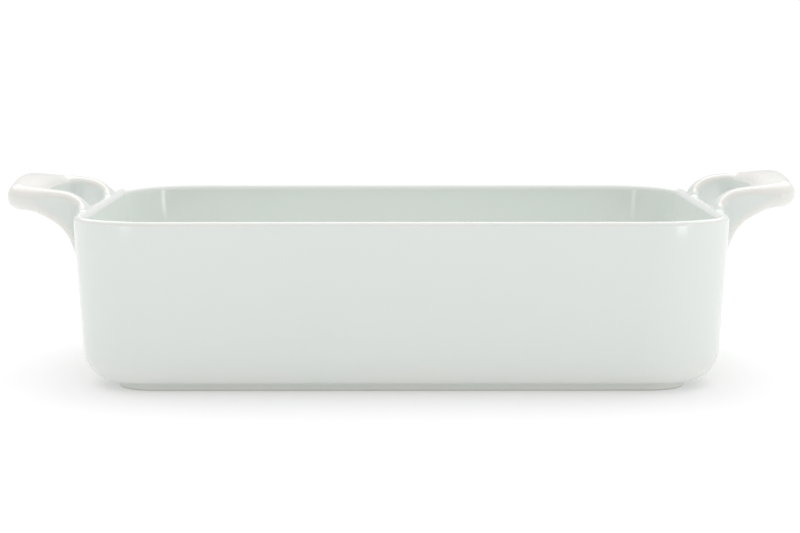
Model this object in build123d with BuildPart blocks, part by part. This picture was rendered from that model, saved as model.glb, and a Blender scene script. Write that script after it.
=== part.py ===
from build123d import *
import math
import os

# Lasagna dish: a deep rectangular oven dish of glazed white porcelain.
# It stands on a bare ground foot ring, and a raised loop handle is luted on each end wall.
# Millimetres, +Z up, +X along the length, origin on the table under the dish's middle.

# The basin, measured over its rim
rim_length = 328.0
rim_width = 248.0
body_height = 85.2
corner_radius = 44.0
draft_degrees = 3.1
wall_thickness = 5.4
floor_thickness = 5.0
rim_outer_round = 2.0
rim_inner_round = 3.3

# The round lower edge of the walls, outside and inside
lower_edge_radius = 15.5
lower_edge_corner_radius = 18.0
inner_edge_radius = 13.0
inner_edge_corner_radius = 17.0
lower_edge_sections = 7

# The foot ring, ground flat and left without glaze
foot_height = 3.6
foot_front_inset = 14.0
foot_end_inset = 18.2
foot_ring_width = 6.0
foot_corner_radius = 20.0
foot_edge_round = 0.9

# The loop handles, seen from above: two straps and a bowed cross grip. The clearance lies
# between a strap's outer side and where the rim's corner starts.
handle_reach = 41.6
root_corner_clearance = 26.0
strap_thickness = 12.5
grip_width = 20.0
grip_bow = 1.8
inner_corner_reach = 4.9
inner_corner_width = 8.5
outer_corner_fullness = 3.0
inner_corner_fullness = 2.2
corner_sections = 8
grip_sections = 4
root_flare_radius = 9.0
root_flare_depth = 2.0

# The loop handles, seen from the side: heights above and below the rim
grip_rise = 14.2
grip_crown = 3.2
strap_rise = 11.6
grip_under_rise = 0.6
grip_under_crown = 1.6
strap_under_drop = 4.9
under_curve_power = 1.6
crown_power = 1.5
root_drop = 34.6
strap_edge_round = 3.3
grip_edge_round = 5.0
handle_lap = 2.9
left_handle_set_down = 1.4

# Side view of a strap from its lap on the rim to where its corner starts: how far out, as
# shares of that run, how high its top is, as shares of strap_rise, and how low its
# underside is, as shares of root_drop
strap_station_shares = [
    (0.0, -0.03, 1.0),
    (0.113, 0.36, 0.99),
    (0.25, 0.6, 0.86),
    (0.41, 0.76, 0.65),
    (0.62, 0.88, 0.36),
    (0.84, 0.945, 0.2),
]

# The layer of slip that joins each handle root to the wall, from just under the rim
slip_thickness = 0.8
slip_top_drop = 3.0

# How far a blank or a cut runs past the face that it has to pass
overrun = 5.0

# Values worked out from the sizes above
draft = math.radians(draft_degrees)
draft_slope = math.tan(draft)
half_length = rim_length / 2
half_width = rim_width / 2
foot_lean = (body_height - foot_height) * draft_slope
foot_half_length = half_length - foot_lean - foot_end_inset
foot_half_width = half_width - foot_lean - foot_front_inset
floor_level = foot_height + floor_thickness
inner_corner_radius = corner_radius - wall_thickness
handle_half_width = half_width - corner_radius - root_corner_clearance
root_middle = handle_half_width - strap_thickness / 2
strap_straight_reach = handle_reach - grip_bow - grip_width - inner_corner_reach
grip_half_length = handle_half_width - strap_thickness - inner_corner_width


def plan_section(level, drawn_in, corner):
    """Draw the basin's plan at one height, smaller than the rim all round."""
    with BuildSketch(Plane.XY.offset(level)) as section:
        RectangleRounded(2 * (half_length - drawn_in), 2 * (half_width - drawn_in), corner)
    return section.sketch


def wall_sections(bottom, inset, radius, corner):
    """Draw the plans of a drafted wall, at the rim and where its lower edge starts."""
    tangent_level = bottom + radius * (1 - math.sin(draft))
    lean = (body_height - tangent_level) * draft_slope
    return [plan_section(body_height, inset, corner), plan_section(tangent_level, inset + lean, corner)]


def edge_sections(bottom, inset, radius, corner, end_corner):
    """Draw the plans that carry a wall round its lower edge into a flat bottom."""
    tangent_level = bottom + radius * (1 - math.sin(draft))
    lean = (body_height - tangent_level) * draft_slope
    sections = []
    for step in range(lower_edge_sections):
        share = step / (lower_edge_sections - 1)
        angle = draft + share * (math.pi / 2 - draft)
        level = bottom + radius * (1 - math.sin(angle))
        inward = math.cos(draft) - math.cos(angle)
        own_corner = corner + (end_corner - corner) * inward / math.cos(draft)
        sections.append(plan_section(level, inset + lean + radius * inward, own_corner))
    return sections


outer_wall = wall_sections(foot_height, 0, lower_edge_radius, corner_radius)
outer_edge = edge_sections(foot_height, 0, lower_edge_radius, corner_radius, lower_edge_corner_radius)
inner_wall = wall_sections(floor_level, wall_thickness, inner_edge_radius, inner_corner_radius)
inner_edge = edge_sections(
    floor_level, wall_thickness, inner_edge_radius, inner_corner_radius, inner_edge_corner_radius
)

# The basin is one casting: floor, walls and a rim rounded on both sides
with BuildPart() as dish_body:
    loft(sections=outer_wall, ruled=True)
    loft(sections=outer_edge)
    loft(sections=inner_wall, ruled=True, mode=Mode.SUBTRACT)
    loft(sections=inner_edge, mode=Mode.SUBTRACT)
    rim_loops = dish_body.faces().sort_by(Axis.Z)[-1].wires().sort_by(SortBy.LENGTH)
    fillet(rim_loops[-1].edges(), radius=rim_outer_round)
    rim_loops = dish_body.faces().sort_by(Axis.Z)[-1].wires().sort_by(SortBy.LENGTH)
    fillet(rim_loops[0].edges(), radius=rim_inner_round)

# The foot ring reaches up to the basin's underside, which curves away over its outer edge
with BuildPart() as foot_ring:
    with BuildSketch():
        RectangleRounded(2 * foot_half_length, 2 * foot_half_width, foot_corner_radius)
        RectangleRounded(
            2 * (foot_half_length - foot_ring_width),
            2 * (foot_half_width - foot_ring_width),
            foot_corner_radius - foot_ring_width,
            mode=Mode.SUBTRACT,
        )
    extrude(amount=foot_height + floor_thickness / 2)
    fillet(foot_ring.faces().sort_by(Axis.Z)[0].edges(), radius=foot_edge_round)
    add(dish_body.part, mode=Mode.SUBTRACT)


def root_flare(out):
    """Say how much a strap widens on each side near the wall, at a distance out from it."""
    depth = max(out + root_flare_depth, root_flare_depth / 4)
    if depth >= root_flare_radius:
        return 0
    return root_flare_radius - math.sqrt(root_flare_radius**2 - (root_flare_radius - depth) ** 2)


def loop_top(out):
    """Say how high the loop's top is over the rim, past the strap's straight part."""
    share = (out - strap_straight_reach) / (handle_reach - strap_straight_reach)
    return strap_rise + (grip_rise - strap_rise) * share


def loop_under(out):
    """Say how high the loop's underside is over the rim, past the strap's straight part."""
    belly = handle_reach - grip_width / 2
    share = max(belly - out, 0) / (belly - strap_straight_reach)
    return grip_under_rise - (grip_under_rise + strap_under_drop) * share**under_curve_power


def grip_lift(point, crown):
    """Say how far the arched grip lifts a point of the loop's plan: all of the crown at its middle."""
    out, across = point
    out_share = max(out - strap_straight_reach, 0) / (handle_reach - strap_straight_reach)
    across_share = max(1 - (across / handle_half_width) ** 2, 0)
    return crown * min(2 * out_share, 1) * across_share**crown_power


def loop_section(side, rim_level, inner, outer, tops, unders, edge_round):
    """Draw one upright section of a loop between two points of its plan."""
    direction = Vector(side * (outer[0] - inner[0]), outer[1] - inner[1], 0)
    origin = Vector(side * (half_length + inner[0]), inner[1], rim_level)
    width = direction.length
    plane = Plane(origin=origin, x_dir=direction, z_dir=direction.cross(Vector(0, 0, 1)))
    with BuildSketch(plane) as section:
        with BuildLine():
            Polyline((0, unders[0]), (width, unders[1]), (width, tops[1]), (0, tops[0]), close=True)
        make_face()
        fillet(section.vertices(), radius=edge_round)
    return section.sketch


def strap_sections(side, rim_level):
    """Draw the sections of the front strap, from inside the wall to where its corner starts."""
    sections = []
    for out_share, top_share, under_share in strap_station_shares:
        out = -handle_lap + out_share * (handle_lap + strap_straight_reach)
        flare = root_flare(out)
        inner = (out, -(handle_half_width - strap_thickness - flare))
        outer = (out, -(handle_half_width + flare))
        tops = [top_share * strap_rise] * 2
        unders = [-under_share * root_drop] * 2
        sections.append(loop_section(side, rim_level, inner, outer, tops, unders, strap_edge_round))
    return sections


def corner_point(angle, reach, half_width, fullness):
    """Find where a rounded corner of the plan lies, at an angle round the corner's pivot."""
    out = reach - strap_straight_reach
    across = half_width - grip_half_length
    distance = ((math.sin(angle) / out) ** fullness + (math.cos(angle) / across) ** fullness) ** (-1 / fullness)
    return (
        strap_straight_reach + distance * math.sin(angle),
        -(grip_half_length + distance * math.cos(angle)),
    )


def turned_section(side, rim_level, inner, outer, edge_round):
    """Draw a section of the corner or the grip, with heights that follow how far out it is."""
    tops = [loop_top(point[0]) + grip_lift(point, grip_crown) for point in (inner, outer)]
    unders = [loop_under(point[0]) + grip_lift(point, grip_under_crown) for point in (inner, outer)]
    return loop_section(side, rim_level, inner, outer, tops, unders, edge_round)


def front_half_sections(side, rim_level):
    """Draw all sections of a loop's front half, from the wall to the middle of its grip."""
    sections = strap_sections(side, rim_level)
    grip_outside = handle_reach - grip_bow
    for step in range(corner_sections):
        share = step / corner_sections
        angle = share * math.pi / 2
        inside = (grip_outside - grip_width, handle_half_width - strap_thickness, inner_corner_fullness)
        inner = corner_point(angle, *inside)
        outer = corner_point(angle, grip_outside, handle_half_width, outer_corner_fullness)
        edge_round = strap_edge_round + (grip_edge_round - strap_edge_round) * share
        sections.append(turned_section(side, rim_level, inner, outer, edge_round))
    for step in range(grip_sections + 1):
        share = 1 - step / grip_sections
        outside = handle_reach - grip_bow * share**2
        inner = (outside - grip_width, -grip_half_length * share)
        outer = (outside, -grip_half_length * share)
        sections.append(turned_section(side, rim_level, inner, outer, grip_edge_round))
    return sections


def handle_blank(side, set_down):
    """Make a whole loop before it is trimmed to the wall and the rim that it sits on."""
    with BuildPart() as blank:
        loft(sections=front_half_sections(side, body_height - set_down), ruled=True)
        mirror(about=Plane.XZ)
    return blank.part


def slip_zone(side, root, set_down):
    """Make the flat layer on an end wall that holds the slip of one root."""
    normal = Vector(side * math.cos(draft), 0, -math.sin(draft))
    wall_face = Plane(origin=(side * half_length, 0, body_height), x_dir=(0, side, 0), z_dir=normal)
    zone_height = root_drop + set_down + overrun - slip_top_drop
    zone_width = strap_thickness + 2 * (root_flare_radius + overrun)
    with BuildPart() as zone:
        with BuildSketch(wall_face):
            with Locations((side * root * root_middle, -slip_top_drop - zone_height / 2)):
                Rectangle(zone_width, zone_height)
        extrude(amount=slip_thickness)
    return zone.part


pieces = {"dish_body": dish_body, "foot_ring": foot_ring}

for side_name, side, set_down in [("left", -1, left_handle_set_down), ("right", 1, 0)]:
    blank = handle_blank(side, set_down)
    zones = {"front": slip_zone(side, -1, set_down), "back": slip_zone(side, 1, set_down)}
    with BuildPart() as handle:
        add(blank)
        add(dish_body.part, mode=Mode.SUBTRACT)
        for zone in zones.values():
            add(zone, mode=Mode.SUBTRACT)
    pieces[side_name + "_handle"] = handle
    for root_name, zone in zones.items():
        with BuildPart() as slip:
            add(blank)
            add(zone, mode=Mode.INTERSECT)
        pieces[side_name + "_" + root_name + "_slip"] = slip

os.makedirs("parts", exist_ok=True)
for name, piece in pieces.items():
    piece.part.label = name
    export_step(piece.part, "parts/" + name + ".step")
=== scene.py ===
"""Looks of a white porcelain lasagna dish, built around its packed frame.

The basin and its foot are swept row by row with true normals, so that every highlight on the
glaze runs clean. Each loop handle is an implicit form, meshed and blended into the end wall as
luted and glazed porcelain is. Sizes are in millimetres and turn into metres where a mesh is made.
"""

import math
from collections import namedtuple

import bpy
import numpy as np
from bpy.props import FloatProperty, FloatVectorProperty, PointerProperty
from mathutils import Matrix, Vector


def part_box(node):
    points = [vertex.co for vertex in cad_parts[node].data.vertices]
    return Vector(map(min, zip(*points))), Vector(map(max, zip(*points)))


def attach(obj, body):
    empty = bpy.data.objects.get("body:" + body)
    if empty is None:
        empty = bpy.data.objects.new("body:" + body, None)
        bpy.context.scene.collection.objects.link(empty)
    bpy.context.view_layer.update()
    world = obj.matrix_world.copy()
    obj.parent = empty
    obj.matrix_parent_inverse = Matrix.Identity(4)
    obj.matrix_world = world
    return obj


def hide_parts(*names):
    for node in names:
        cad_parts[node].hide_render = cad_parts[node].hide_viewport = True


bl_info = {
    "name": "Porcelain Lasagna Dish",
    "version": (1, 0, 0),
    "blender": (4, 5, 0),
    "location": "View3D > Sidebar > Dish",
    "description": "Builds the glazed looks of a porcelain lasagna dish around its frame",
    "category": "Object",
}

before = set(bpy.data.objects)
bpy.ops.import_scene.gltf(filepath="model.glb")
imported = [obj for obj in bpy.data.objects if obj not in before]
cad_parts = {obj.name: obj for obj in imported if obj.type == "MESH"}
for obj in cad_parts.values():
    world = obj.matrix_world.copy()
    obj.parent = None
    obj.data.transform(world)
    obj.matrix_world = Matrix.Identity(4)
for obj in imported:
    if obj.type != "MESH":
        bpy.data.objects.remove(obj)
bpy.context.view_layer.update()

MM = 0.001
BASIN_LOW, BASIN_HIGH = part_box("dish_body")

# The handle's outline seen from the side, out from the wall and up from the rim
TOP_KNOTS = (
    (-2.6, -8.0), (-2.9, -3.0), (-2.9, -1.0), (-2.5, 1.1), (-1.4, 3.7), (0.9, 6.5),
    (4.3, 8.7), (8.5, 10.3), (15.0, 11.3), (27.0, 12.4), (36.0, 13.2), (46.0, 13.4),
)
UNDER_KNOTS = (
    (46.0, 0.6), (32.0, 0.6), (26.0, 0.1), (22.0, -1.2), (15.0, -4.8), (11.3, -7.7),
    (7.5, -12.6), (3.7, -21.7), (0.7, -29.9), (-1.2, -34.4), (-3.4, -37.4),
)

# One loop round the dish: its distance in from the rim's edge, its height, its corner radius, which way it
# faces in section, its glaze (which on the foot also carries painted light), and how its corner radius
# changes on the way in
Row = namedtuple("Row", "inset level corner facing glaze change", defaults=[-1])

# How the glaze lies, from -1 where it pools in a hollow to 1 where it thins on a sharp edge; at the crease
# and the foot the values are raised as painted light, to lighten the shade there
RIM_GLAZE = 0.3
LOWER_GLAZE = 0.3
INNER_GLAZE = -0.5
# Painted light: the crease above the foot is a hollow, but it gets thin, lighter glaze so that the shade
# falling there is lightened
CREASE_PAINTED_LIGHT = 0.1
# Thin glaze on the foot's lower edges, raised further as painted light that lightens the shaded foot band
FOOT_THIN_GLAZE_AND_PAINTED_LIGHT = 0.6

# Lengths of the patterns in the surfaces, and how deep the scratches and the table's tooth are
DIMPLE = 1.8
SHEEN = 18.0
FIRING = 60.0
SCRATCH = 0.5
GRAIN = 4.0
WANDER = 9.0
TOOTH = 0.8
SCRATCH_DEPTH = 0.02
TOOTH_DEPTH = 0.05


def hex_to_linear(code):
    """Turn an sRGB hex colour into linear red, green and blue."""
    tones = [int(code[start : start + 2], 16) / 255 for start in (1, 3, 5)]
    return tuple(tone / 12.92 if tone <= 0.04045 else ((tone + 0.055) / 1.055) ** 2.4 for tone in tones)


def per_metre(millimetres):
    """Give the texture scale at which one feature of a pattern is as long as given."""
    return 1 / (millimetres * MM)


def setting(name, description, default, **more):
    """Give the property of a size or a share that a user may change."""
    return FloatProperty(name=name, description=description, default=default, **more)


def colour(name, description, code):
    """Give the property of a colour, from its sRGB hex value."""
    default = hex_to_linear(code)
    return FloatVectorProperty(name=name, description=description, subtype="COLOR", default=default)


class BasinSizes(bpy.types.PropertyGroup):
    """Sizes of the basin, in millimetres"""

    length: setting("Length", "Length over the rim before it is rounded", 328.0)
    width: setting("Width", "Width over the rim before it is rounded", 248.0)
    height: setting("Height", "Height of the rim over the table", BASIN_HIGH[2] / MM)
    corner: setting("Corner", "Plan radius of the rim's corners", 44.0)
    draft: setting("Draft", "Lean of the walls", math.radians(3.1), subtype="ANGLE")
    wall: setting("Wall", "Thickness of the walls at the rim", 5.4)
    floor: setting("Floor", "Thickness of the floor", 5.0)
    rim_outer: setting("Rim outside", "Round of the rim's outer edge", 2.0)
    rim_inner: setting("Rim inside", "Round of the rim's inner edge", 3.3)
    lower_round: setting("Lower round", "Round of the lower edge outside", 15.5)
    lower_corner: setting("Lower corner", "Plan radius where that round ends", 18.0)
    inner_round: setting("Inner round", "Round of the lower edge inside", 13.0)
    inner_corner: setting("Inner corner", "Plan radius where that round ends", 17.0)


class FootSizes(bpy.types.PropertyGroup):
    """Sizes of the foot ring, in millimetres"""

    height: setting("Height", "Height of the basin over the table", BASIN_LOW[2] / MM)
    inset: setting("Inset", "How far the foot stands back from the wall's line", 14.0)
    ends: setting("Ends", "How much further it stands back at its ends", 4.2)
    ring: setting("Ring", "Width of the foot ring", 6.0)
    corner: setting("Corner", "Plan radius of the foot's corners", 20.0)
    edge: setting("Edge", "Round of the foot's lower edges", 0.9)
    crease: setting("Crease", "Radius that the glaze fills in above the foot", 0.7)
    glaze_line: setting("Glaze line", "Height over the table where glaze starts", 0.7)


class HandleSizes(bpy.types.PropertyGroup):
    """Sizes of one loop handle, in millimetres from the wall and from the rim"""

    reach: setting("Reach", "How far the grip stands out of the wall", 41.6)
    half_width: setting("Half width", "Half of the width over the straps", 54.0)
    strap: setting("Strap", "Thickness of a strap", 12.5)
    grip: setting("Grip", "Width of the cross grip", 20.0)
    bow: setting("Bow", "How far the grip bows outwards", 1.8)
    crown: setting("Crown", "How far the grip's top arches up", 3.2)
    under_crown: setting("Under crown", "How far its underside arches up", 1.6)
    outer_corner: setting("Outer corner", "Plan radius of the outer corners", 13.0)
    inner_corner: setting("Inner corner", "Plan radius of the opening's corners", 7.5)
    flare: setting("Flare", "Plan radius of a root's flare", 6.0)
    strap_round: setting("Strap round", "Rounding of the straps' edges", 3.3)
    grip_round: setting("Grip round", "Rounding of the grip's edges", 6.0)
    fillet: setting("Fillet", "Radius of the slip smoothed round a root", 4.5)
    rim_fillet: setting("Rim fillet", "The same radius on top of the rim", 0.6)
    slip: setting("Slip", "How far the slip reaches out from the wall", 1.0)
    set_down: setting("Set down", "How much lower the left handle sits", 1.4)
    cell: setting("Cell", "Size of the mesh's cells", 1.0)


class PorcelainLook(bpy.types.PropertyGroup):
    """Colours and relief of the glaze and of the bare porcelain, in millimetres"""

    glaze: colour("Glaze", "White glaze on a plain wall", "#E9EEEA")
    pooled: colour("Pooled glaze", "Thick glaze in a hollow", "#E2E8E4")
    # The thin glaze's colour, which also paints the light on the grip's tops and the foot band
    thin_glaze_and_painted_light: colour("Thin glaze", "Thin glaze on an edge", "#F0EDE8")
    bare: colour("Bare", "Ground porcelain without glaze", "#D9D8D2")
    run: setting("Run", "Length of the glaze's slow waves", 26.0)
    wave: setting("Wave", "Depth of the glaze's slow waves", 0.03)
    finger: setting("Finger", "Length of the finger's dips in the slip", 7.0)
    dip: setting("Dip", "Depth of those dips", 0.025)
    peel: setting("Peel", "Depth of the glaze's fine dimples", 0.003)


class StudioLook(bpy.types.PropertyGroup):
    """Brightness of the studio round the dish"""

    table: colour("Table", "Frosted white sheet of the table", "#D4D4D4")
    glow: setting("Glow", "Light that comes up through the table", 0.3)
    backdrop: setting("Backdrop", "Brightness of the lit backdrop", 1.03)
    room: setting("Room", "Share of it that the walls of the studio have", 0.7)
    ceiling: setting("Ceiling", "Share of it that the ceiling has", 0.88)
    camera_end: setting("Camera end", "Share that the dark end behind the camera has", 0.36)
    left_end: setting("Left end", "Share that the left end of the studio has", 0.84)
    overhead: setting("Overhead", "Strength of the large light overhead", 1.37)
    side: setting("Side", "Brightness of a softbox at the side", 3.0)
    low: setting("Low", "Brightness of a small lamp low in front", 3.2)


def unit_rows(vectors):
    """Scale each row of an array to a length of one."""
    return vectors / np.maximum(np.linalg.norm(vectors, axis=1), 1e-9)[:, None]


def sized_object(name, points, faces, normals, glaze, material):
    """Make a mesh object from points in millimetres, with its normals and glaze thickness, which in places
    also carries painted light.
    """
    mesh = bpy.data.meshes.new(name)
    mesh.from_pydata((np.asarray(points) * MM).tolist(), [], [[int(i) for i in face] for face in faces])
    mesh.update()
    mesh.shade_smooth()
    mesh.normals_split_custom_set_from_vertices(unit_rows(np.asarray(normals)).tolist())
    thickness = mesh.attributes.new("glaze", "FLOAT", "POINT")
    thickness.data.foreach_set("value", np.asarray(glaze, dtype=np.float32))
    mesh.materials.append(material)
    obj = bpy.data.objects.new(name, mesh)
    bpy.context.scene.collection.objects.link(obj)
    return obj


def seat(obj, slot, *nodes):
    """Ride a piece on the dish and hide the frame's parts that it stands in for."""
    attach(obj, "root")
    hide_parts(*nodes)


def plan_loop(half_x, half_y, corner, arc_steps=20, long_steps=26, short_steps=18):
    """Give a rounded rectangle's points and normals, with as many points whatever its size."""
    points = []
    normals = []
    for sign_x, sign_y, turn in ((1, 1, 0), (-1, 1, 1), (-1, -1, 2), (1, -1, 3)):
        centre = (sign_x * (half_x - corner), sign_y * (half_y - corner))
        for step in range(arc_steps + 1):
            angle = (turn + step / arc_steps) * math.pi / 2
            normals.append((math.cos(angle), math.sin(angle)))
            points.append((centre[0] + corner * math.cos(angle), centre[1] + corner * math.sin(angle)))
        steps = long_steps if turn % 2 == 0 else short_steps
        start = points[-1]
        end = (-start[0], start[1]) if turn % 2 == 0 else (start[0], -start[1])
        for step in range(1, steps):
            share = step / steps
            normals.append(normals[-1])
            points.append((start[0] + (end[0] - start[0]) * share, start[1] + (end[1] - start[1]) * share))
    return np.array(points), np.array(normals)


def edge_rows(sizes, bottom, inset, radius, corner, end_corner, steps=16):
    """Give the rows of a wall's lower edge, from where the wall ends round to the flat."""
    tangent = bottom + radius * (1 - math.sin(sizes.draft))
    lean = (sizes.height - tangent) * math.tan(sizes.draft)
    change = (end_corner - corner) / (radius * math.cos(sizes.draft))
    rows = []
    for step in range(steps + 1):
        share = step / steps
        angle = sizes.draft + share * (math.pi / 2 - sizes.draft)
        level = bottom + radius * (1 - math.sin(angle))
        inward = radius * (math.cos(sizes.draft) - math.cos(angle))
        own_corner = corner + change * inward
        rows.append(Row(inset + lean + inward, level, own_corner, angle, math.sin(math.pi * share), change))
    # Where the wall ends, the normals stand half way between its own and the round's
    rows[0] = rows[0]._replace(change=change / 2)
    return rows


def flat_rows(last, sizes, steps=5):
    """Give rows that close a flat face towards its middle."""
    room = sizes.width / 2 - last.inset
    least_corner = last.corner / 5
    rows = []
    for step in range(1, steps + 1):
        inward = room * (step / (steps + 1))
        corner = max(last.corner - inward, least_corner)
        rows.append(Row(last.inset + inward, last.level, corner, last.facing, 0))
    return rows


def wall_rows(start, end, steps=14, crowding=1.7):
    """Give the rows of a plain wall, closer together at its upper end."""
    rows = []
    for step in range(1, steps):
        share = (step / steps) ** crowding
        inset = start.inset + (end.inset - start.inset) * share
        level = start.level + (end.level - start.level) * share
        rows.append(start._replace(inset=inset, level=level, glaze=0, change=0))
    return rows


def rim_round(sizes, inset, radius, start, end, steps=10):
    """Give the rows of one round of the rim between two facings."""
    rows = []
    for step in range(steps + 1):
        facing = start + (end - start) * step / steps
        drawn_in = inset - radius * math.cos(facing)
        level = sizes.height - radius * (1 - math.sin(facing))
        rows.append(Row(drawn_in, level, sizes.corner - drawn_in, facing, RIM_GLAZE))
    return rows


def rim_centres(sizes):
    """Give how far in from the rim's edge the centres of its outer and inner round lie."""
    slope = math.tan(sizes.draft)
    across = 1 / math.cos(sizes.draft)
    outer = sizes.rim_outer * (across + slope)
    inner = sizes.wall - sizes.rim_inner * (across - slope)
    return outer, inner


def basin_rows(sizes, foot_height):
    """Give the basin's rows from the middle of its floor over the rim to the middle below."""
    inside_corner = sizes.corner - sizes.wall
    inside = edge_rows(
        sizes, foot_height + sizes.floor, sizes.wall, sizes.inner_round, inside_corner, sizes.inner_corner
    )
    inside = [row._replace(facing=math.pi - row.facing, glaze=INNER_GLAZE * row.glaze) for row in inside]
    outside = edge_rows(sizes, foot_height, 0, sizes.lower_round, sizes.corner, sizes.lower_corner)
    outside = [row._replace(facing=-row.facing, glaze=LOWER_GLAZE * row.glaze) for row in outside]
    outer_centre, inner_centre = rim_centres(sizes)
    outer_round = rim_round(sizes, outer_centre, sizes.rim_outer, -sizes.draft, math.pi / 2)
    inner_round = rim_round(sizes, inner_centre, sizes.rim_inner, math.pi / 2, math.pi - sizes.draft)
    rim = [row._replace(corner=max(row.corner, inside_corner)) for row in outer_round + inner_round][::-1]
    inner_wall = wall_rows(rim[0], inside[0])[::-1]
    outer_wall = wall_rows(rim[-1], outside[0])
    rows = flat_rows(inside[-1], sizes)[::-1] + inside[::-1] + inner_wall + rim
    return rows + outer_wall + outside + flat_rows(outside[-1], sizes)


def underside_level(sizes, foot_height, inset):
    """Give the height of the basin's underside at a distance in from the rim's edge."""
    radius = sizes.lower_round
    tangent = foot_height + radius * (1 - math.sin(sizes.draft))
    lean = (sizes.height - tangent) * math.tan(sizes.draft)
    drawn_in = math.cos(sizes.draft) - (inset - lean) / radius
    return foot_height + radius * (1 - math.sin(math.acos(max(drawn_in, 0))))


def foot_rows(basin, foot):
    """Give the closed section of the foot ring, from its outer crease round to its inner one."""
    outer = (basin.height - foot.height) * math.tan(basin.draft) + foot.inset
    inner = outer + foot.ring
    lap = foot.edge / 2

    def row(inset, level, facing, glaze):
        return Row(inset, level, foot.corner - (inset - outer), facing, glaze)

    # A hollow crease has a radius above zero, and an edge one below it
    def rounded(centre, level, radius, start, end, glaze, steps=6):
        for step in range(steps + 1):
            facing = start + (end - start) * step / steps
            inset = centre + radius * math.cos(facing)
            yield row(inset, level - radius * (1 + math.sin(facing)), facing, glaze)

    quarter = math.pi / 2
    crease_level = underside_level(basin, foot.height, outer - foot.crease)
    # The crease rows and the foot's edge rows carry painted light: lighter glaze that lifts the shade on the
    # foot band
    rows = [row(outer - foot.crease, crease_level + lap, -quarter, CREASE_PAINTED_LIGHT)]
    rows += rounded(outer - foot.crease, crease_level, foot.crease, -quarter, 0, CREASE_PAINTED_LIGHT)
    rows += rounded(outer + foot.edge, 0, -foot.edge, 0, -quarter, FOOT_THIN_GLAZE_AND_PAINTED_LIGHT)
    rows += [row(outer + foot.ring / 2, 0, -quarter, 0)]
    rows += rounded(inner - foot.edge, 0, -foot.edge, -quarter, -2 * quarter, FOOT_THIN_GLAZE_AND_PAINTED_LIGHT)
    rows += rounded(inner + foot.crease, foot.height, foot.crease, -2 * quarter, -quarter, CREASE_PAINTED_LIGHT)
    rows += [row(inner + foot.crease, foot.height + lap, quarter, 0)]
    return rows


def swept_mesh(name, rows, sizes, material, ends=0, closed=False):
    """Skin the rows of a basin or a ring, and close flat middles with strips across."""
    points = []
    normals = []
    glaze = []
    for row in rows:
        half_length = sizes.length / 2 - ends - row.inset
        loop, outward = plan_loop(half_length, sizes.width / 2 - row.inset, row.corner)
        count = len(loop)
        points.append(np.column_stack([loop, np.full(count, row.level)]))
        # How far a point moves in along its own normal while the inset grows by one
        inward = (1 + row.change) * np.abs(outward).sum(axis=1) - row.change
        normals.append(np.column_stack([outward * math.cos(row.facing), inward * math.sin(row.facing)]))
        glaze += [row.glaze] * count
    faces = []
    for band in range(len(rows) if closed else len(rows) - 1):
        low = band * count
        high = (band + 1) % len(rows) * count
        for i in range(count):
            j = (i + 1) % count
            faces.append((low + i, high + i, high + j, low + j))
    if not closed:
        faces += cross_strips(points[0], 0, False)
        faces += cross_strips(points[-1], (len(rows) - 1) * count, True)
    return sized_object(name, np.vstack(points), faces, np.vstack(normals), glaze, material)


def cross_strips(loop, offset, flip):
    """Fill a loop that is its own mirror image in Y with strips from front to back."""
    mirror = [int(np.abs(loop[:, :2] - point[:2] * (1, -1)).sum(axis=1).argmin()) for point in loop]
    faces = []
    for i in range(len(loop)):
        j = (i + 1) % len(loop)
        if loop[i][1] > 0 and loop[j][1] > 0:
            face = (offset + i, offset + j, offset + mirror[j], offset + mirror[i])
            faces.append(face[::-1] if flip else face)
    return faces


def smooth_line(knots, per_span=8):
    """Run a smooth curve through a few knots."""
    knots = np.array(knots)
    padded = np.vstack([2 * knots[0] - knots[1], knots, 2 * knots[-1] - knots[-2]])
    points = []
    for i in range(1, len(padded) - 2):
        before, start, end, after = padded[i - 1 : i + 3]
        t = np.arange(per_span)[:, None] / per_span
        bend = 2 * before - 5 * start + 4 * end - after
        twist = 3 * start - before - 3 * end + after
        points.append(0.5 * (2 * start + (end - before) * t + bend * t**2 + twist * t**3))
    points.append(knots[-1:])
    return np.vstack(points)


def arc_points(centre, radius, start, end, steps=12):
    """Give points on an arc between two angles in degrees."""
    angles = np.radians(np.linspace(start, end, steps + 1))
    return np.column_stack([centre[0] + radius * np.cos(angles), centre[1] + radius * np.sin(angles)])


def half_loop(edge, side, corner, flare, flare_end, bow):
    """Give half of a loop's plan outline: a flared root, a round corner and the bowed grip."""
    back = -9.0
    start = -0.5
    corner_end = -6
    bow_points = 9
    root = -(edge + flare) if flare_end == 90 else -(edge - flare)
    straight = np.linspace(-(edge - corner), 0, bow_points)[1:]
    bowed = [(side + bow * (1 - (y / (edge - corner)) ** 2), y) for y in straight]
    return np.vstack([
        [(back, root), (start, root)],
        arc_points((start + flare, root), flare, 180, flare_end),
        arc_points((side - corner, -(edge - corner)), corner, -90, corner_end),
        bowed,
    ])


def loop_outlines(sizes):
    """Give the handle's outlines from above: its outside and its opening."""
    side = sizes.reach - sizes.bow
    hole = sizes.half_width - sizes.strap
    halves = (
        half_loop(sizes.half_width, side, sizes.outer_corner, sizes.flare, 90, sizes.bow),
        half_loop(hole, side - sizes.grip, sizes.inner_corner, sizes.flare, 270, sizes.bow),
    )
    return [np.vstack([half, (half * (1, -1))[::-1][1:]]) for half in halves]


def wall_outline(sizes):
    """Give the end wall's section, out from the rim's edge and up from the rim."""
    low = -60.0
    lean = low * math.tan(sizes.draft)
    tilt = math.degrees(sizes.draft)
    outer_centre, inner_centre = rim_centres(sizes)
    return np.vstack([
        [(lean - sizes.wall, low)],
        arc_points((-inner_centre, -sizes.rim_inner), sizes.rim_inner, 180 - tilt, 90),
        arc_points((-outer_centre, -sizes.rim_outer), sizes.rim_outer, 90, -tilt),
        [(lean, low)],
    ])


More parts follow.
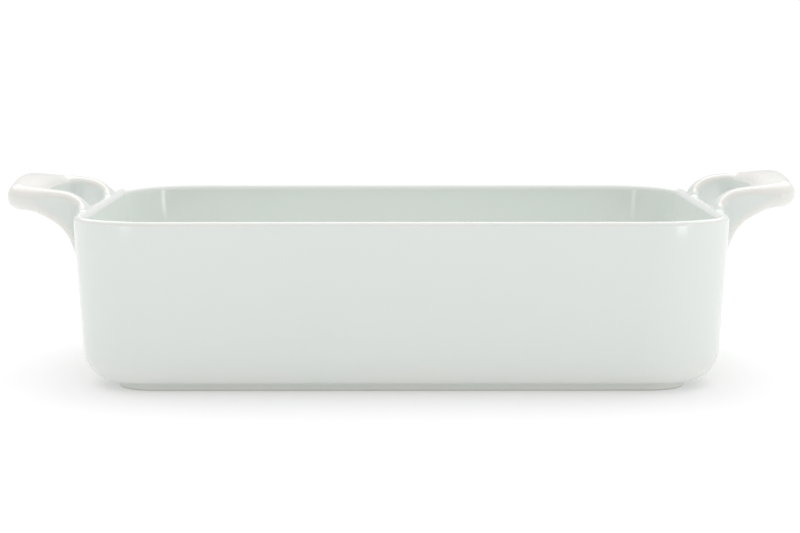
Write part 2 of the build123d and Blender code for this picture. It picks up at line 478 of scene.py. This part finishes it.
def outline_distance(points, outline):
    """Give the signed distance of flat points to a closed outline, negative inside."""
    nearest = np.full(len(points), np.inf)
    inside = np.zeros(len(points), dtype=bool)
    for start, end in zip(outline, np.roll(outline, -1, axis=0)):
        edge = end - start
        if not edge.any():
            continue
        offset = points - start
        share = np.clip(offset @ edge / (edge @ edge), 0, 1)
        nearest = np.minimum(nearest, ((offset - share[:, None] * edge) ** 2).sum(axis=1))
        if edge[1]:
            crossing = (start[1] > points[:, 1]) != (end[1] > points[:, 1])
            inside ^= crossing & (offset[:, 0] < edge[0] * offset[:, 1] / edge[1])
    distance = np.sqrt(nearest)
    return np.where(inside, -distance, distance)


def eased(values, start, run):
    """Rise from 0 to 1, with a soft start and end, over a run of the values."""
    share = np.clip((values - start) / run, 0, 1)
    return share * share * (3 - 2 * share)


def rounded_overlap(first, second, radius):
    """Intersect two distance fields with a rounded edge."""
    both = np.maximum(radius + first, 0) ** 2 + np.maximum(radius + second, 0) ** 2
    return np.minimum(-radius, np.maximum(first, second)) + np.sqrt(both)


def filleted_union(first, second, radius):
    """Join two distance fields with a fillet."""
    both = np.maximum(radius - first, 0) ** 2 + np.maximum(radius - second, 0) ** 2
    return np.maximum(radius, np.minimum(first, second)) - np.sqrt(both)


def field_slope(field, points, gap=0.25):
    """Give a field's slope by central differences."""
    slopes = [(field(points + step) - field(points - step)) / (2 * gap) for step in gap * np.eye(3)]
    return np.column_stack(slopes)


def even_grid(low, high, step):
    """Give the points of an even grid between two corners, and how many it has each way."""
    counts = np.ceil((high - low) / step).astype(int) + 1
    axes = [start + step * np.arange(count) for start, count in zip(low, counts)]
    return np.stack(np.meshgrid(*axes, indexing="ij"), axis=-1).reshape(-1, len(counts)), counts


class FlatField:
    """Distances measured once on a flat grid and read in between."""

    def __init__(self, low, high, measure, step=0.25):
        self.low = low
        self.step = step
        grid, counts = even_grid(low, high, step)
        self.values = measure(grid).reshape(counts)

    def at(self, points):
        """Read the distances at flat points."""
        place = (points - self.low) / self.step
        cell = np.clip(np.floor(place).astype(int), 0, np.array(self.values.shape) - 2)
        i, j = cell.T
        s, t = (place - cell).T
        low = self.values[i, j] * (1 - s) + self.values[i + 1, j] * s
        high = self.values[i, j + 1] * (1 - s) + self.values[i + 1, j + 1] * s
        return low * (1 - t) + high * t


class HandleForm:
    """The implicit form of one handle on its wall."""

    # Room to mesh it in: into the wall, out past the grip, beside the flares, down and up
    INTO_WALL = 8.0
    PAST_GRIP = 4.0
    BESIDE = 9.0
    DOWN = 50.0
    UP = 21.0

    # Start and length of each change: the grip's arch outwards and upwards, and the edges' rounding
    ARCH = (12.0, 18.0)
    ARCH_UPWARDS = (-2.0, 16.0)
    ARCH_POWER = 1.5
    ROUNDING = (14.0, 16.0)
    # The same of the fillet's growth over the rim, and the share of the fillet that is meshed
    FILLET_GROWTH = (-4.4, 4.0)
    FILLET_SHARE = 0.96
    # How strongly bends thin or pool the glaze, and how that sets in off the wall and the fillet's edge
    BEND_STRENGTH = 3
    OFF_WALL = (0.0, 4.0)
    OFF_FILLET_EDGE = (0.0, 3.5)
    # How strongly the grip's upward-facing top is painted lighter and warmer as a painted highlight, and
    # over what length from a third of the reach this sets in
    GRIP_TOP_LIGHT_STRENGTH = 0.6
    GRIP_TOP_LIGHT_LENGTH = 10.0

    def __init__(self, basin, sizes, set_down):
        self.size = sizes
        side = np.vstack([smooth_line(TOP_KNOTS), smooth_line(UNDER_KNOTS)]) - (0, set_down)
        outside, opening = loop_outlines(sizes)
        wall = wall_outline(basin)
        across = sizes.half_width + sizes.flare + self.BESIDE
        self.low = np.array([-self.INTO_WALL, -across, -self.DOWN])
        self.high = np.array([sizes.reach + self.PAST_GRIP, across, self.UP])
        upright = (self.low[[0, 2]], self.high[[0, 2]])
        self.side = FlatField(*upright, lambda grid: outline_distance(grid, side))
        self.wall = FlatField(*upright, lambda grid: outline_distance(grid, wall))
        self.plan = FlatField(
            self.low[:2],
            self.high[:2],
            lambda grid: np.maximum(outline_distance(grid, outside), -outline_distance(grid, opening)),
        )

    def lift(self, points):
        """Say how far the arched grip lifts the side outline at each point."""
        size = self.size
        across = np.clip(1 - (points[:, 1] / size.half_width) ** 2, 0, 1) ** self.ARCH_POWER
        out = eased(points[:, 0], *self.ARCH)
        upper = eased(points[:, 2], *self.ARCH_UPWARDS)
        return across * out * (size.under_crown + (size.crown - size.under_crown) * upper)

    def loop(self, points):
        """Give the distance to the loop alone."""
        upright = points[:, [0, 2]] - np.column_stack([np.zeros(len(points)), self.lift(points)])
        share = eased(points[:, 0], *self.ROUNDING)
        rounding = self.size.strap_round + (self.size.grip_round - self.size.strap_round) * share
        return rounded_overlap(self.side.at(upright), self.plan.at(points[:, :2]), rounding)

    def fillet(self, points):
        """Give the fillet's radius, which fades out over the rim."""
        share = eased(points[:, 0], *self.FILLET_GROWTH)
        return self.size.rim_fillet + (self.size.fillet - self.size.rim_fillet) * share

    def wall_gap(self, points):
        """Give the distance to the wall alone."""
        return self.wall.at(points[:, [0, 2]])

    def whole(self, points):
        """Give the distance to the loop and the wall together."""
        return filleted_union(self.loop(points), self.wall_gap(points), self.fillet(points))

    def past_fillet(self, points):
        """Say how far points lie past the edge of the fillet on the wall."""
        return self.loop(points) - self.FILLET_SHARE * self.fillet(points)

    def past_slip(self, points):
        """Say how far points lie out of the slip."""
        return self.wall_gap(points) - self.size.slip

    def glaze(self, points, gap=1.0):
        """Give the glaze's thickness: below 0 where it pools in a hollow, above where it thins."""
        bend = -6 * self.whole(points)
        for step in gap * np.eye(3):
            bend += self.whole(points + step) + self.whole(points - step)
        thickness = np.clip(self.BEND_STRENGTH * bend / gap**2, -1, 1)
        thickness -= np.maximum(thickness, 0) * (1 - eased(self.wall_gap(points), *self.OFF_WALL))
        return thickness * eased(-self.past_fillet(points), *self.OFF_FILLET_EDGE)

    def painted_grip_top_light(self, points, normals):
        """Say how much lighter and warmer the grip's upward-facing top is painted: a painted highlight."""
        start = self.size.reach / 3
        out = eased(points[:, 0], start, self.GRIP_TOP_LIGHT_LENGTH)
        return self.GRIP_TOP_LIGHT_STRENGTH * out * np.clip(normals[:, 2], 0, 1)


def net_surface(values, origin, step):
    """Mesh a field's zero surface on a grid, with one vertex in each cell that it crosses."""
    inside = values < 0
    shape = np.array(values.shape) - 1
    corners = [(i, j, k) for i in (0, 1) for j in (0, 1) for k in (0, 1)]

    def window(array, corner):
        return array[tuple(slice(c, c + n) for c, n in zip(corner, shape))]

    filled = sum(window(inside, corner).astype(int) for corner in corners)
    cells = np.argwhere((filled > 0) & (filled < 8))
    number = np.full(shape, -1)
    number[tuple(cells.T)] = np.arange(len(cells))
    total = np.zeros((len(cells), 3))
    hits = np.zeros(len(cells))
    for start in corners:
        for axis in range(3):
            if start[axis]:
                continue
            end = list(start)
            end[axis] = 1
            a = window(values, start)[tuple(cells.T)]
            b = window(values, tuple(end))[tuple(cells.T)]
            crossed = (a < 0) != (b < 0)
            share = np.where(crossed, a / np.where(crossed, a - b, 1), 0)
            total += (np.array(start) + share[:, None] * np.eye(3)[axis]) * crossed[:, None]
            hits += crossed
    points = origin + step * (cells + total / hits[:, None])
    faces = []
    unit = np.eye(3, dtype=int)
    for axis in range(3):
        p, q = [(axis + 1) % 3, (axis + 2) % 3]
        span = [slice(1, n) for n in shape]
        span[axis] = slice(0, shape[axis])
        near = inside[tuple(span)]
        span[axis] = slice(1, shape[axis] + 1)
        far = inside[tuple(span)]
        edges = np.argwhere(near != far)
        base = edges + unit[p] + unit[q]
        ring = [base, base - unit[p], base - unit[p] - unit[q], base - unit[q]]
        quads = np.column_stack([number[tuple(cell.T)] for cell in ring])
        inward = ~near[tuple(edges.T)]
        quads[inward] = quads[inward][:, ::-1]
        faces.append(quads)
    return points, np.vstack(faces)


def settled(form, points, rounds=3, least=1e-3):
    """Move points onto the form's surface."""
    for _ in range(rounds):
        slope = field_slope(form.whole, points)
        size = np.maximum((slope**2).sum(axis=1), least)
        points = points - slope * (form.whole(points) / size)[:, None]
    return points


def relaxed(form, points, faces, rounds=8, pull=0.5):
    """Even out the spacing of points along the surface."""
    edges = np.vstack([faces[:, [i, (i + 1) % 4]] for i in range(4)])
    edges = np.unique(np.sort(edges, axis=1), axis=0)
    hits = np.bincount(edges.ravel(), minlength=len(points))[:, None]
    for _ in range(rounds):
        total = np.zeros_like(points)
        np.add.at(total, edges[:, 0], points[edges[:, 1]])
        np.add.at(total, edges[:, 1], points[edges[:, 0]])
        points = settled(form, points + pull * (total / np.maximum(hits, 1) - points), 1)
    return settled(form, points, 2)


def slid(form, points, field, rounds=3, least=0.1):
    """Slide points within a quarter of a cell from a field's zero line along the surface onto it."""
    close = np.abs(field(points)) < form.size.cell / 4
    spots = points[close]
    for _ in range(rounds):
        up = unit_rows(field_slope(form.whole, spots))
        along = field_slope(field, spots)
        along -= up * (along * up).sum(axis=1)[:, None]
        size = np.maximum((along**2).sum(axis=1), least)
        spots = settled(form, spots - along * (field(spots) / size)[:, None], 1)
    points = points.copy()
    points[close] = spots
    values = field(points)
    values[close] = 0
    return points, values


def trimmed(points, faces, values):
    """Cut faces along the zero line of their points' values and keep what lies below it."""
    points = list(points)
    cuts = {}
    kept = []
    for face in faces:
        loop = []
        for a, b in zip(face, (*face[1:], face[0])):
            if values[a] <= 0:
                loop.append(a)
            if values[a] * values[b] < 0:
                low, high = min(a, b), max(a, b)
                if (low, high) not in cuts:
                    share = values[low] / (values[low] - values[high])
                    cuts[low, high] = len(points)
                    points.append(points[low] + (points[high] - points[low]) * share)
                loop.append(cuts[low, high])
        if len(loop) > 2:
            kept.append(loop)
    return np.array(points), kept


def border_loops(faces):
    """Give the closed loops of edges that one face alone uses, turned against that face."""
    edges = {(a, b) for face in faces for a, b in zip(face, (*face[1:], face[0]))}
    after = {b: a for a, b in sorted(edges) if (b, a) not in edges}
    loops = []
    while after:
        loop = [min(after)]
        following = after.pop(loop[0])
        while following != loop[0]:
            loop.append(following)
            following = after.pop(following)
        loops.append(loop)
    return loops


def used_only(points, faces):
    """Leave out the points that no face uses."""
    used = sorted({int(i) for face in faces for i in face})
    number = {old: new for new, old in enumerate(used)}
    return points[used], [[number[int(i)] for i in face] for face in faces]


def finished_piece(name, form, points, faces, mirror, material):
    """Close a handle's piece with fans inside its joints and set it on its end of the dish."""
    points, faces = used_only(points, faces)
    normals = unit_rows(field_slope(form.whole, points))
    # The glaze value gets a painted highlight on the grip's top, added to the glaze's thickness
    glaze = form.glaze(points) + form.painted_grip_top_light(points, normals)
    for loop in border_loops(faces):
        ring = points[loop]
        centre = len(points)
        span = np.roll(ring, -1, axis=0)
        points = np.vstack([points, ring.mean(axis=0)])
        normals = np.vstack([normals, np.cross(ring - points[-1], span - points[-1]).sum(axis=0)])
        glaze = np.append(glaze, 0)
        faces += [[a, b, centre] for a, b in zip(loop, loop[1:] + loop[:1])]
    basin = bpy.context.scene.dish_basin
    placed = (points + (basin.length / 2, 0, basin.height)) * (mirror, 1, 1)
    if mirror < 0:
        faces = [face[::-1] for face in faces]
    return sized_object(name, placed, faces, normals * (mirror, 1, 1), glaze, material)


def handle_surface(form):
    """Mesh one handle's surface out to where its fillet ends on the wall."""
    cell = form.size.cell
    grid, counts = even_grid(form.low, form.high, cell)
    points, faces = net_surface(form.whole(grid).reshape(counts), form.low, cell)
    points = settled(form, points)
    spare = 3 * cell
    near = form.loop(points) < form.size.fillet + spare
    points, faces = used_only(points, faces[near[faces].all(axis=1)])
    points = relaxed(form, points, np.array(faces))
    points, values = slid(form, points, form.past_fillet)
    return trimmed(points, faces, values)


class DISH_OT_basin(bpy.types.Operator):
    """Sweep the basin's floor, walls and rim"""

    bl_idname = "dish.basin"
    bl_label = "Basin"

    def execute(self, context):
        sizes = context.scene.dish_basin
        rows = basin_rows(sizes, context.scene.dish_foot.height)
        obj = swept_mesh("basin", rows, sizes, glazed_porcelain())
        seat(obj, "glazed_porcelain", "dish_body")
        return {"FINISHED"}


class DISH_OT_foot(bpy.types.Operator):
    """Sweep the foot ring with its glazed sides and bare ground face"""

    bl_idname = "dish.foot"
    bl_label = "Foot ring"

    def execute(self, context):
        sizes = context.scene.dish_basin
        foot = context.scene.dish_foot
        obj = swept_mesh("foot", foot_rows(sizes, foot), sizes, ground_porcelain(), foot.ends, closed=True)
        seat(obj, "bare_porcelain", "foot_ring")
        return {"FINISHED"}


class DISH_OT_handles(bpy.types.Operator):
    """Form both loop handles and the slip that blends them into the end walls"""

    bl_idname = "dish.handles"
    bl_label = "Handles and slip"

    def execute(self, context):
        basin = context.scene.dish_basin
        sizes = context.scene.dish_handles
        for name, mirror, set_down in (("left", -1, sizes.set_down), ("right", 1, 0.0)):
            form = HandleForm(basin, sizes, set_down)
            points, faces = handle_surface(form)
            points, values = slid(form, points, form.past_slip)
            loop = trimmed(points, faces, -values)
            obj = finished_piece(name + "_loop", form, *loop, mirror, glazed_porcelain())
            seat(obj, "glazed_porcelain", name + "_handle")
            points, faces = trimmed(points, faces, values)
            for root, side in (("front", -1), ("back", 1)):
                own = [face for face in faces if points[face[0]][1] * side > 0]
                obj = finished_piece(f"{name}_{root}_collar", form, points, own, mirror, glazed_slip())
                seat(obj, "glazed_slip", f"{name}_{root}_slip")
        return {"FINISHED"}


def add_node(tree, kind, inputs=(), **settings):
    """Add a node with its settings, and set or link its inputs."""
    node = tree.nodes.new(kind)
    for name, value in settings.items():
        setattr(node, name, value)
    for name, value in dict(inputs).items():
        if isinstance(value, bpy.types.NodeSocket):
            tree.links.new(value, node.inputs[name])
        else:
            node.inputs[name].default_value = value
    return node


def blank_material(name):
    """Start a material that has only its output."""
    material = bpy.data.materials.new(name)
    material.use_nodes = True
    material.node_tree.nodes.clear()
    return material, material.node_tree


def opaque(tone):
    """Give a colour its alpha."""
    return (*tone, 1.0)


def glaze_relief(tree, place, look, wave_length, depth):
    """Make the glaze's relief: slow waves from the way it ran, and fine dimples from its boil."""
    below = {}
    for length, height, roughness in ((wave_length, depth, 0.4), (DIMPLE, look.peel, 0.5)):
        pattern = {"Vector": place, "Scale": per_metre(length), "Detail": 1.0, "Roughness": roughness}
        noise = add_node(tree, "ShaderNodeTexNoise", pattern)
        bump = {"Strength": 1.0, "Distance": height * MM, "Height": noise.outputs["Fac"], **below}
        relief = add_node(tree, "ShaderNodeBump", bump).outputs[0]
        below = {"Normal": relief}
    return relief


def glaze_colour(tree, place, look):
    """Mix the glaze's colour from its thickness, which also carries painted light on the grip's tops and the
    foot, and a faint unevenness of the firing.
    """
    thickness = add_node(tree, "ShaderNodeAttribute", attribute_name="glaze")
    pattern = {"Vector": place, "Scale": per_metre(FIRING), "Detail": 2.0, "Roughness": 0.5}
    firing = add_node(tree, "ShaderNodeTexNoise", pattern)
    terms = {0: firing.outputs["Fac"], 1: 0.5, 2: thickness.outputs["Fac"]}
    uneven = add_node(tree, "ShaderNodeMath", terms, operation="MULTIPLY_ADD")
    span = {"Value": uneven.outputs[0], "From Min": -0.75, "From Max": 1.25}
    share = add_node(tree, "ShaderNodeMapRange", span)
    ramp = add_node(tree, "ShaderNodeValToRGB", {"Fac": share.outputs[0]})
    ramp.color_ramp.elements[0].color = opaque(look.pooled)
    ramp.color_ramp.elements[1].color = opaque(look.thin_glaze_and_painted_light)
    ramp.color_ramp.elements.new(0.5).color = opaque(look.glaze)
    return ramp.outputs["Color"]


def gloss_glaze(tree, look, wave_length, depth):
    """Build the shader of a clear gloss glaze fused over white porcelain, with waves of a size."""
    place = add_node(tree, "ShaderNodeTexCoord").outputs["Object"]
    pattern = {"Vector": place, "Scale": per_metre(SHEEN), "Detail": 3.0, "Roughness": 0.6}
    sheen = add_node(tree, "ShaderNodeTexNoise", pattern).outputs["Fac"]
    span = {"Value": sheen, "From Min": 0.35, "From Max": 0.65, "To Min": 0.05, "To Max": 0.09}
    roughness = add_node(tree, "ShaderNodeMapRange", span)
    gloss = {
        "Base Color": glaze_colour(tree, place, look),
        "Roughness": roughness.outputs[0],
        "IOR": 1.52,
        "Normal": glaze_relief(tree, place, look, wave_length, depth),
    }
    return add_node(tree, "ShaderNodeBsdfPrincipled", gloss)


def glazed_all_over(name, look, wave_length, depth):
    """Give the material of a surface that is glazed all over, made at its first use."""
    if name not in bpy.data.materials:
        tree = blank_material(name)[1]
        shader = gloss_glaze(tree, look, wave_length, depth)
        add_node(tree, "ShaderNodeOutputMaterial", {"Surface": shader.outputs[0]})
    return bpy.data.materials[name]


def glazed_porcelain():
    """White porcelain, dipped in a clear gloss glaze and fired."""
    # The melt levels itself, so the eye gets a hard clean gloss with only slow waves in it.
    # It thins to a warmer white on edges and pools cooler and greener in hollows; the same warmer white is
    # painted on the grip's tops as a painted highlight.
    look = bpy.context.scene.dish_look
    return glazed_all_over("dish_glaze", look, look.run, look.wave)


def glazed_slip():
    """Liquid porcelain smoothed round a luted joint by finger, under the same glaze."""
    # The finger leaves soft dips a few millimetres long, which the glaze nearly levels.
    look = bpy.context.scene.dish_look
    return glazed_all_over("dish_slip", look, look.finger, look.dip)


def ground_porcelain():
    """Porcelain of the foot: glazed on its sides, wiped and ground flat underneath."""
    # Below the glaze line the body is matt and slightly darker, with the grinder's fine scratches.
    material, tree = blank_material("dish_foot")
    look = bpy.context.scene.dish_look
    foot = bpy.context.scene.dish_foot
    # The glazed sides show the painted light that the foot's rows carry
    glazed = gloss_glaze(tree, look, look.run, look.wave)
    place = add_node(tree, "ShaderNodeTexCoord").outputs["Object"]
    stretched = add_node(tree, "ShaderNodeMapping", {"Vector": place, "Scale": (0.05, 1.0, 1.0)})
    pattern = {"Vector": stretched.outputs[0], "Scale": per_metre(SCRATCH), "Detail": 4.0, "Roughness": 0.6}
    scratches = add_node(tree, "ShaderNodeTexNoise", pattern)
    pattern = {"Vector": place, "Scale": per_metre(GRAIN), "Detail": 4.0, "Roughness": 0.6}
    grain = add_node(tree, "ShaderNodeTexNoise", pattern)
    tone = add_node(tree, "ShaderNodeValToRGB", {"Fac": grain.outputs["Fac"]})
    shade = 0.92
    tone.color_ramp.elements[0].color = opaque([shade * part for part in look.bare])
    tone.color_ramp.elements[1].color = opaque(look.bare)
    bump = {"Strength": 0.6, "Distance": SCRATCH_DEPTH * MM, "Height": scratches.outputs["Fac"]}
    relief = add_node(tree, "ShaderNodeBump", bump).outputs[0]
    matt = {"Base Color": tone.outputs["Color"], "Roughness": 0.75, "IOR": 1.5, "Normal": relief}
    bare = add_node(tree, "ShaderNodeBsdfPrincipled", matt)
    # The wiped edge of the glaze sways up and down round its line
    sway = 0.4 * foot.glaze_line * MM
    low = foot.glaze_line * MM - sway / 2
    blur = 0.05 * MM
    height = add_node(tree, "ShaderNodeSeparateXYZ", {0: place})
    pattern = {"Vector": place, "Scale": per_metre(WANDER), "Detail": 2.0, "Roughness": 0.5}
    wander = add_node(tree, "ShaderNodeTexNoise", pattern)
    terms = {0: wander.outputs["Fac"], 1: -sway, 2: height.outputs["Z"]}
    level = add_node(tree, "ShaderNodeMath", terms, operation="MULTIPLY_ADD")
    span = {"Value": level.outputs[0], "From Min": low - blur, "From Max": low + blur}
    covered = add_node(tree, "ShaderNodeMapRange", span)
    layers = {0: covered.outputs[0], 1: bare.outputs[0], 2: glazed.outputs[0]}
    mixed = add_node(tree, "ShaderNodeMixShader", layers)
    add_node(tree, "ShaderNodeOutputMaterial", {"Surface": mixed.outputs[0]})
    return material


def lit_table():
    """A frosted white sheet of plastic, lit from below."""
    # Sanding leaves it matt, and the light that comes through it softens the shadow on it.
    material, tree = blank_material("lit_table")
    look = bpy.context.scene.dish_studio
    place = add_node(tree, "ShaderNodeTexCoord").outputs["Object"]
    tooth = add_node(tree, "ShaderNodeTexNoise", {"Vector": place, "Scale": per_metre(TOOTH), "Detail": 2.0})
    bump = {"Strength": 0.1, "Distance": TOOTH_DEPTH * MM, "Height": tooth.outputs["Fac"]}
    relief = add_node(tree, "ShaderNodeBump", bump)
    frosted = {
        "Base Color": opaque(look.table),
        "Roughness": 0.95,
        "Specular IOR Level": 0.1,
        "Emission Color": opaque([1.0] * 3),
        "Emission Strength": look.glow,
        "Normal": relief.outputs[0],
    }
    shader = add_node(tree, "ShaderNodeBsdfPrincipled", frosted)
    add_node(tree, "ShaderNodeOutputMaterial", {"Surface": shader.outputs[0]})
    return material


# Heights in the studio, as the Z of the direction looked in
HORIZON = 0.016
WALLS = 0.05
CEILING = 0.7


def studio_world(look):
    """Make the studio: a lit backdrop, bright walls and ceiling, and a dark end behind the camera."""
    world = bpy.data.worlds.new("studio")
    world.use_nodes = True
    tree = world.node_tree
    tree.nodes.clear()
    direction = add_node(tree, "ShaderNodeTexCoord").outputs["Generated"]
    parts = add_node(tree, "ShaderNodeSeparateXYZ", {0: direction})
    tone = add_node(tree, "ShaderNodeValToRGB", {"Fac": parts.outputs["Z"]})
    stops = tone.color_ramp.elements
    stops[0].position = HORIZON
    stops[0].color = opaque([1.0] * 3)
    stops[1].position = CEILING
    stops[1].color = opaque([look.ceiling] * 3)
    stops.new(WALLS).color = opaque([look.room] * 3)
    # Dark behind the camera except high up, and a little darker towards the left end
    shares = {}
    for axis, dark, bright, least in (
        ("Y", -0.5, 0.0, look.camera_end),
        ("Z", 0.2, 0.4, look.camera_end),
        ("X", -0.8, -0.25, look.left_end),
    ):
        span = {"Value": parts.outputs[axis], "From Min": dark, "From Max": bright, "To Min": least}
        shares[axis] = add_node(tree, "ShaderNodeMapRange", span).outputs[0]
    ends = add_node(tree, "ShaderNodeMath", {0: shares["Y"], 1: shares["Z"]}, operation="MAXIMUM")
    room = add_node(tree, "ShaderNodeMath", {0: ends.outputs[0], 1: shares["X"]}, operation="MULTIPLY")
    glow = add_node(tree, "ShaderNodeMath", {0: room.outputs[0], 1: look.backdrop}, operation="MULTIPLY")
    lit = {"Color": tone.outputs["Color"], "Strength": glow.outputs[0]}
    light = add_node(tree, "ShaderNodeBackground", lit)
    add_node(tree, "ShaderNodeOutputWorld", {"Surface": light.outputs[0]})
    return world


def aimed_light(name, kind, place, target, **settings):
    """Hang a light and turn it towards a point."""
    data = bpy.data.lights.new(name, kind)
    for option, value in settings.items():
        setattr(data, option, value)
    light = bpy.data.objects.new(name, data)
    light.location = place
    light.rotation_euler = (Vector(target) - Vector(place)).to_track_quat("-Z", "Y").to_euler()
    bpy.context.scene.collection.objects.link(light)


def panel_light(name, place, target, width, height, brightness):
    """Hang a flat rectangular light that looks as bright as given from every side."""
    power = brightness * math.pi * width * height
    aimed_light(name, "AREA", place, target, shape="RECTANGLE", size=width, size_y=height, energy=power)


# The studio's lights in metres, and how wide the one overhead spreads in degrees
OVERHEAD_PLACE = (0, 1.3, 2)
OVERHEAD_SPREAD = 80
SOFTBOX_AWAY = 1.4
SOFTBOX_HEIGHT = 0.19
SOFTBOX_SIZE = (0.2, 0.36)
LAMP_AIM = (0.139, -0.118, 1.2)
LAMP_SIZE = (0.11, 0.028)
# Each side's lights: its sign in X, how far round from the camera's end the softbox stands in
# degrees, their share of the brightness, and the place of the lamp that draws the corner's patch
SIDE_LIGHTS = (
    ("left", -1, 48, 0.6, (-0.39, -0.394, 0.004)),
    ("right", 1, 59, 1.15, (0.418, -0.368, 0.004)),
)

# The camera that took the picture, in metres and radians, for a picture 800 pixels wide
PICTURE_WIDTH = 800
FOCAL_LENGTH = 2152.92
SENSOR = 36.0
CAMERA_PLACE = (-0.00115, -1.1537, 0.18039)
CAMERA_PITCH = 0.112662
CAMERA_HEADING = 0.000409
CAMERA_ROLL = -0.000437


def photo_camera():
    """Make the camera that sees the dish as the picture does."""
    data = bpy.data.cameras.new("camera")
    data.sensor_width = SENSOR
    data.lens = FOCAL_LENGTH / PICTURE_WIDTH * SENSOR
    level = math.cos(CAMERA_PITCH)
    east = math.sin(CAMERA_HEADING)
    north = math.cos(CAMERA_HEADING)
    forward = Vector((east * level, north * level, -math.sin(CAMERA_PITCH)))
    right = Vector((north, -east, 0))
    up = right.cross(forward)
    turned_right = right * math.cos(CAMERA_ROLL) + up * math.sin(CAMERA_ROLL)
    turned_up = up * math.cos(CAMERA_ROLL) - right * math.sin(CAMERA_ROLL)
    camera = bpy.data.objects.new("camera", data)
    axes = Matrix((turned_right, turned_up, -forward)).transposed().to_4x4()
    camera.matrix_world = Matrix.Translation(CAMERA_PLACE) @ axes
    bpy.context.scene.collection.objects.link(camera)
    return camera


class DISH_OT_stage(bpy.types.Operator):
    """Set the pale floor, the soft light and the camera"""

    bl_idname = "dish.stage"
    bl_label = "Stage"

    def execute(self, context):
        look = context.scene.dish_studio
        half = 40.0
        mesh = bpy.data.meshes.new("floor")
        corners = [(x * half, y * half, 0) for x, y in ((-1, -1), (1, -1), (1, 1), (-1, 1))]
        mesh.from_pydata(corners, [], [(0, 1, 2, 3)])
        mesh.materials.append(lit_table())
        floor = bpy.data.objects.new("floor", mesh)
        context.scene.collection.objects.link(floor)
        context.scene.world = studio_world(look)
        context.scene.view_settings.view_transform = "Standard"
        spread = math.radians(OVERHEAD_SPREAD)
        aimed_light("overhead", "SUN", OVERHEAD_PLACE, (0, 0, 0), energy=look.overhead, angle=spread)
        for name, side, heading, share, lamp in SIDE_LIGHTS:
            turn = math.radians(heading)
            place = (side * SOFTBOX_AWAY * math.sin(turn), -SOFTBOX_AWAY * math.cos(turn), SOFTBOX_HEIGHT)
            panel_light(name + "_softbox", place, (0, 0, SOFTBOX_HEIGHT), *SOFTBOX_SIZE, share * look.side)
            aim = (side * LAMP_AIM[0], *LAMP_AIM[1:])
            panel_light(name + "_lamp", lamp, aim, *LAMP_SIZE, share * look.low)
        context.scene.camera = photo_camera()
        return {"FINISHED"}


class DISH_PT_sidebar(bpy.types.Panel):
    """Sizes of the dish and the steps that build it"""

    bl_idname = "DISH_PT_sidebar"
    bl_label = "Lasagna Dish"
    bl_space_type = "VIEW_3D"
    bl_region_type = "UI"
    bl_category = "Dish"

    def draw(self, context):
        for operator in OPERATORS:
            self.layout.operator(operator.bl_idname)
        for name, group in GROUPS.items():
            box = self.layout.box()
            box.label(text=group.__doc__)
            for prop in group.__annotations__:
                box.prop(getattr(context.scene, name), prop)


GROUPS = {
    "dish_basin": BasinSizes,
    "dish_foot": FootSizes,
    "dish_handles": HandleSizes,
    "dish_look": PorcelainLook,
    "dish_studio": StudioLook,
}
OPERATORS = (DISH_OT_stage, DISH_OT_basin, DISH_OT_foot, DISH_OT_handles)


def register():
    """Register the groups, the operators and the panel."""
    for cls in (*GROUPS.values(), *OPERATORS, DISH_PT_sidebar):
        bpy.utils.register_class(cls)
    for name, group in GROUPS.items():
        setattr(bpy.types.Scene, name, PointerProperty(type=group))


def unregister():
    """Take back what register did."""
    for name in GROUPS:
        delattr(bpy.types.Scene, name)
    for cls in (DISH_PT_sidebar, *reversed(OPERATORS), *GROUPS.values()):
        bpy.utils.unregister_class(cls)


def main():
    """Build the dish and its stage."""
    register()
    bpy.ops.dish.stage()
    bpy.ops.dish.basin()
    bpy.ops.dish.foot()
    bpy.ops.dish.handles()


if __name__ == "__main__":
    main()
